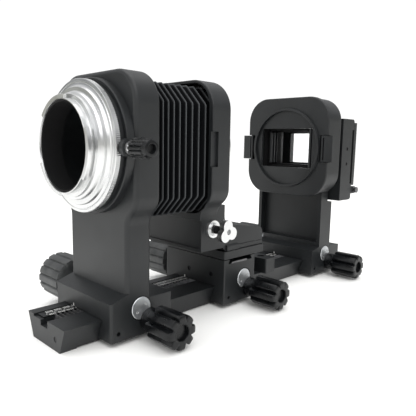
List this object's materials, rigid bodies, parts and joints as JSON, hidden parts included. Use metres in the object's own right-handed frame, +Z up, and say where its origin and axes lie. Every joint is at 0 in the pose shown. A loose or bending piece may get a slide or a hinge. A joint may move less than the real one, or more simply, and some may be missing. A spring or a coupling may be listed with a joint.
{
  "type": "macro bellows unit",
  "caption": "Macro bellows camera attachment: camera and lens standards joined by pleated bellows on a geared rail, with a slide copier, focusing knobs, locks, shift and swing.",
  "frame": {"origin": "mouth of the tripod socket, in the middle of the rail's underside", "axes": "+X along the rail from the camera side towards the slide copier, +Z up, lock knobs on the -Y side"},
  "size_m": [0.2504, 0.1147, 0.1385],
  "materials": {
    "black_paint": "satin black",
    "flat_black": "flat black",
    "knob_plastic": "black, slightly glossy",
    "bright_chrome": "bright",
    "satin_chrome": "satin",
    "steel": "machined",
    "black_screw": "blackened",
    "brass": "machined",
    "scale_aluminium": "grey anodised with fine graduations",
    "bellows_leather": "black, folded",
    "opal": "white, translucent"
  },
  "bodies": {
    "rail": {"rail": "black_paint", "tripod_bush": "steel", "scale_plate": "scale_aluminium", "rail_screws": "black_screw", "gear_rack": "steel", "stop_block": "black_paint", "bellows": "bellows_leather"},
    "rear_standard": {"rear_standard_frame": "black_paint", "rear_mount_ring": "black_paint", "rear_bearing_cap": "satin_chrome", "rear_brake_shoe": "brass", "rear_bellows_frame": "black_paint"},
    "rear_drive": {"rear_pinion_shaft": "satin_chrome", "rear_drive_knob": "knob_plastic"},
    "rear_lock": {"rear_lock_stud": "steel", "rear_lock_knob": "knob_plastic"},
    "camera_mount": {"camera_flange": "bright_chrome", "light_baffle": "flat_black"},
    "mount_lock": {"mount_lock_stud": "bright_chrome", "mount_lock_knob": "knob_plastic"},
    "front_carriage": {"front_carriage_block": "black_paint", "front_bearing_cap": "satin_chrome", "front_brake_shoe": "brass", "front_block_screws": "black_screw"},
    "front_drive": {"front_pinion_shaft": "satin_chrome", "front_drive_knob": "knob_plastic"},
    "front_lock": {"front_lock_stud": "steel", "front_lock_knob": "knob_plastic"},
    "shift_lock": {"shift_lock_screw": "knob_plastic"},
    "shift_slide": {"shift_plate": "black_paint", "swing_pin": "steel"},
    "front_standard": {"front_standard_frame": "black_paint", "swing_index_plate": "black_paint", "lens_mount_ring": "bright_chrome", "lens_mount_screws": "black_screw", "plunger_collar": "bright_chrome", "front_bellows_frame": "black_paint"},
    "lens_release": {"lens_release_button": "bright_chrome"},
    "plunger": {"plunger_rod": "flat_black", "plunger_head": "bright_chrome"},
    "slide_copier": {"copier_frame": "black_paint", "copier_front_plate": "black_paint", "copier_mask": "black_paint", "copier_light_tunnel": "flat_black", "copier_bearing_cap": "satin_chrome", "copier_brake_shoe": "brass", "stage_guide": "black_paint"},
    "copier_drive": {"copier_pinion_shaft": "satin_chrome", "copier_drive_knob": "knob_plastic"},
    "copier_lock": {"copier_lock_stud": "steel", "copier_lock_knob": "knob_plastic"},
    "near_clip": {"copier_clip_near": "black_paint"},
    "far_clip": {"copier_clip_far": "black_paint"},
    "stage": {"slide_stage": "black_paint", "stage_screws": "black_screw", "film_gate": "black_paint", "hinge_bracket": "black_paint", "door_pin": "steel"},
    "door": {"diffuser_door": "black_paint", "opal_diffuser": "opal"}
  },
  "joints": [
    {"name": "rear_standard_slide", "type": "slide", "parent": "rail", "child": "rear_standard", "axis": [1, 0, 0], "range_m": [-0.02, 0.008], "deforming": ["bellows"]},
    {"name": "front_standard_slide", "type": "slide", "parent": "rail", "child": "front_carriage", "axis": [1, 0, 0], "range_m": [-0.008, 0.01], "deforming": ["bellows"]},
    {"name": "slide_copier_slide", "type": "slide", "parent": "rail", "child": "slide_copier", "axis": [1, 0, 0], "range_m": [-0.025, 0.007]},
    {"name": "rear_drive_turn", "type": "hinge", "parent": "rear_standard", "child": "rear_drive", "pos_m": [-0.0859, 0.03, 0.0172], "axis": [0, -1, 0], "range_deg": [-89.1, 221.4]},
    {"name": "front_drive_turn", "type": "hinge", "parent": "front_carriage", "child": "front_drive", "pos_m": [-0.0036, 0.03, 0.0172], "axis": [0, -1, 0], "range_deg": [-111.2, 89.1]},
    {"name": "copier_drive_turn", "type": "hinge", "parent": "slide_copier", "child": "copier_drive", "pos_m": [0.0963, 0.03, 0.0172], "axis": [0, -1, 0], "range_deg": [-78.1, 276.5]},
    {"name": "rear_lock_turn", "type": "hinge", "parent": "rear_standard", "child": "rear_lock", "pos_m": [-0.0807, -0.04, 0.0102], "axis": [0, 1, 0], "range_deg": [-180, 45]},
    {"name": "front_lock_turn", "type": "hinge", "parent": "front_carriage", "child": "front_lock", "pos_m": [0.0016, -0.04, 0.0102], "axis": [0, 1, 0], "range_deg": [-180, 45]},
    {"name": "copier_lock_turn", "type": "hinge", "parent": "slide_copier", "child": "copier_lock", "pos_m": [0.1015, -0.04, 0.0102], "axis": [0, 1, 0], "range_deg": [-180, 45]},
    {"name": "camera_mount_turn", "type": "hinge", "parent": "rear_standard", "child": "camera_mount", "pos_m": [-0.108, 0, 0.1], "axis": [1, 0, 0], "range_deg": [-90, 90]},
    {"name": "mount_lock_turn", "type": "hinge", "parent": "rear_standard", "child": "mount_lock", "pos_m": [-0.09935, -0.045, 0.1], "axis": [0, 1, 0], "range_deg": [-360, 30]},
    {"name": "shift", "type": "slide", "parent": "front_carriage", "child": "shift_slide", "axis": [0, 1, 0], "range_m": [-0.01, 0.01], "deforming": ["bellows"]},
    {"name": "shift_lock_turn", "type": "hinge", "parent": "front_carriage", "child": "shift_lock", "pos_m": [0.012, 0.015, 0.0225], "axis": [1, 0, 0], "range_deg": [-180, 45]},
    {"name": "swing", "type": "hinge", "parent": "shift_slide", "child": "front_standard", "pos_m": [-0.0073, 0, 0.04], "axis": [0, 0, 1], "range_deg": [-15, 15], "deforming": ["bellows"]},
    {"name": "lens_release_press", "type": "slide", "parent": "front_standard", "child": "lens_release", "axis": [-1, 0, 0], "range_m": [0, 0.0022], "stiffness_N_per_m": 600, "springref_m": -0.001},
    {"name": "stop_down_plunger", "type": "slide", "parent": "front_standard", "child": "plunger", "axis": [0, 1, 0], "range_m": [0, 0.003], "stiffness_N_per_m": 400, "springref_m": -0.002},
    {"name": "near_clip_press", "type": "slide", "parent": "slide_copier", "child": "near_clip", "axis": [0, 1, 0], "range_m": [0, 0.0015], "stiffness_N_per_m": 800, "springref_m": -0.001},
    {"name": "far_clip_press", "type": "slide", "parent": "slide_copier", "child": "far_clip", "axis": [0, -1, 0], "range_m": [0, 0.0015], "stiffness_N_per_m": 800, "springref_m": -0.001},
    {"name": "stage_shift", "type": "slide", "parent": "slide_copier", "child": "stage", "axis": [0, 1, 0], "range_m": [-0.006, 0.006]},
    {"name": "diffuser_door_hinge", "type": "hinge", "parent": "stage", "child": "door", "pos_m": [0.1226, 0, 0.0674], "axis": [0, 1, 0], "range_deg": [0, 90]}
  ],
  "couplings": [
    {"joint": "rear_drive_turn", "follows": "rear_standard_slide", "rad_per_m": -192.31},
    {"joint": "front_drive_turn", "follows": "front_standard_slide", "rad_per_m": -192.31},
    {"joint": "copier_drive_turn", "follows": "slide_copier_slide", "rad_per_m": -192.31}
  ]
}
